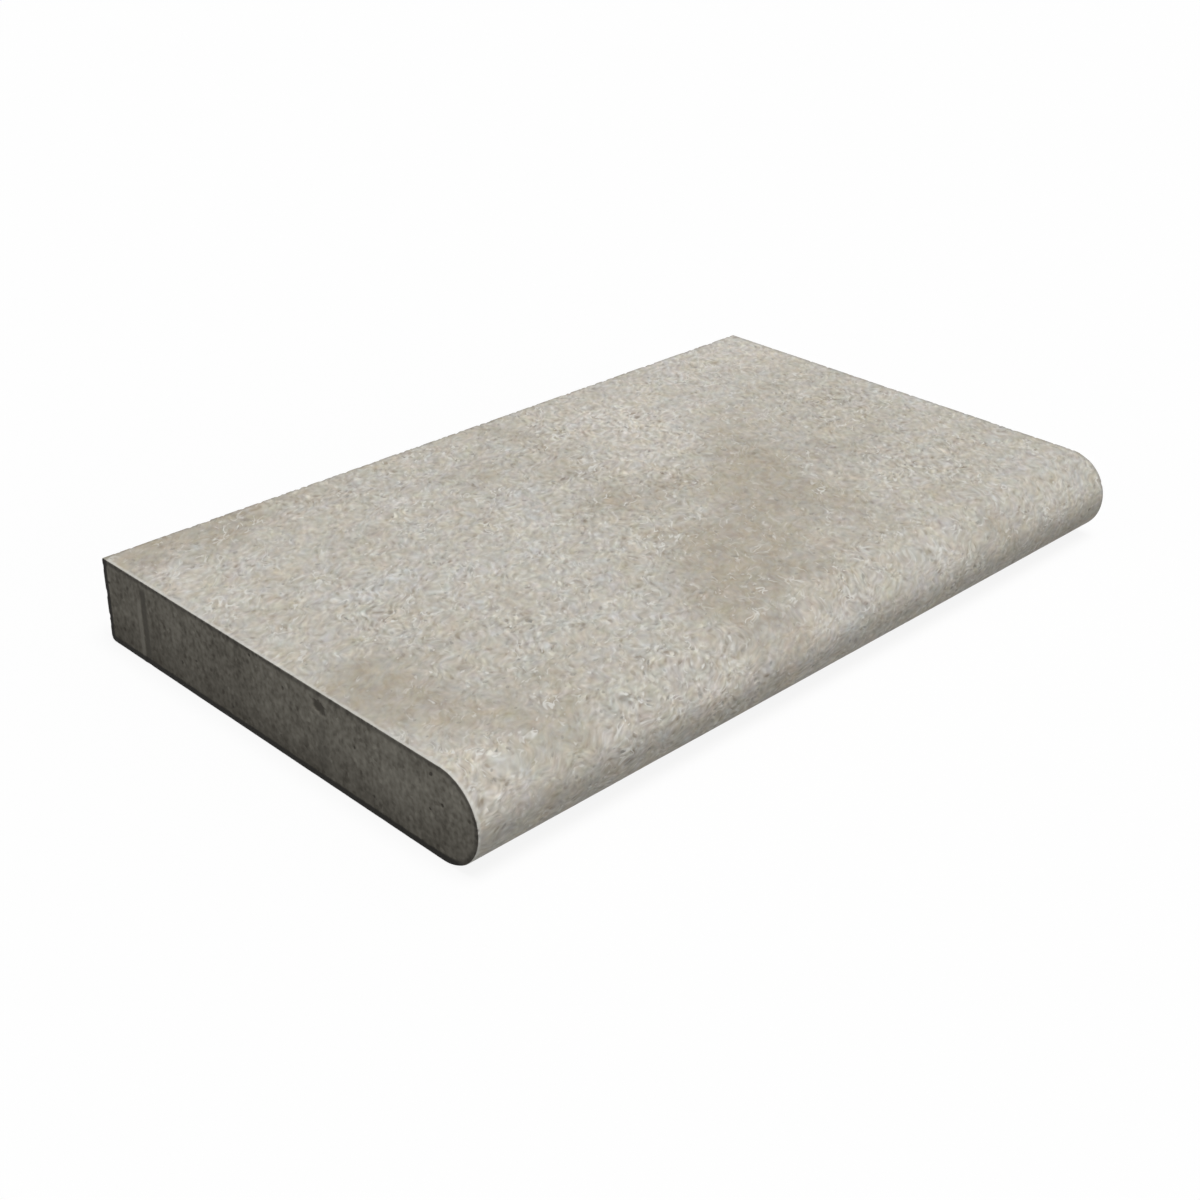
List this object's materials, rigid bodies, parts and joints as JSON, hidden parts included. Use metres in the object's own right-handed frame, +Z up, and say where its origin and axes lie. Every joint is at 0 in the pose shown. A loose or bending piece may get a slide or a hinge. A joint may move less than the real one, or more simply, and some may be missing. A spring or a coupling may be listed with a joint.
{
  "type": "bullnose tile",
  "caption": "Thick cast stone tile with a flat top and one long edge rounded to a full half circle, for step treads, wall tops and pool edges.",
  "frame": {"origin": "middle of the tile's outline, on the plane of its bed (underside)", "axes": "+X along the rounded nose, -Y out of the nose and +Y out of the square back, +Z up out of the walked-on top"},
  "size_m": [0.5, 0.2999, 0.05],
  "materials": {
    "cast_stone": "honed pale beige-grey face on the top and nose, raw darker grey concrete on the other sides"
  },
  "bodies": {
    "root": {"bullnose_tile": "cast_stone"}
  },
  "joints": []
}
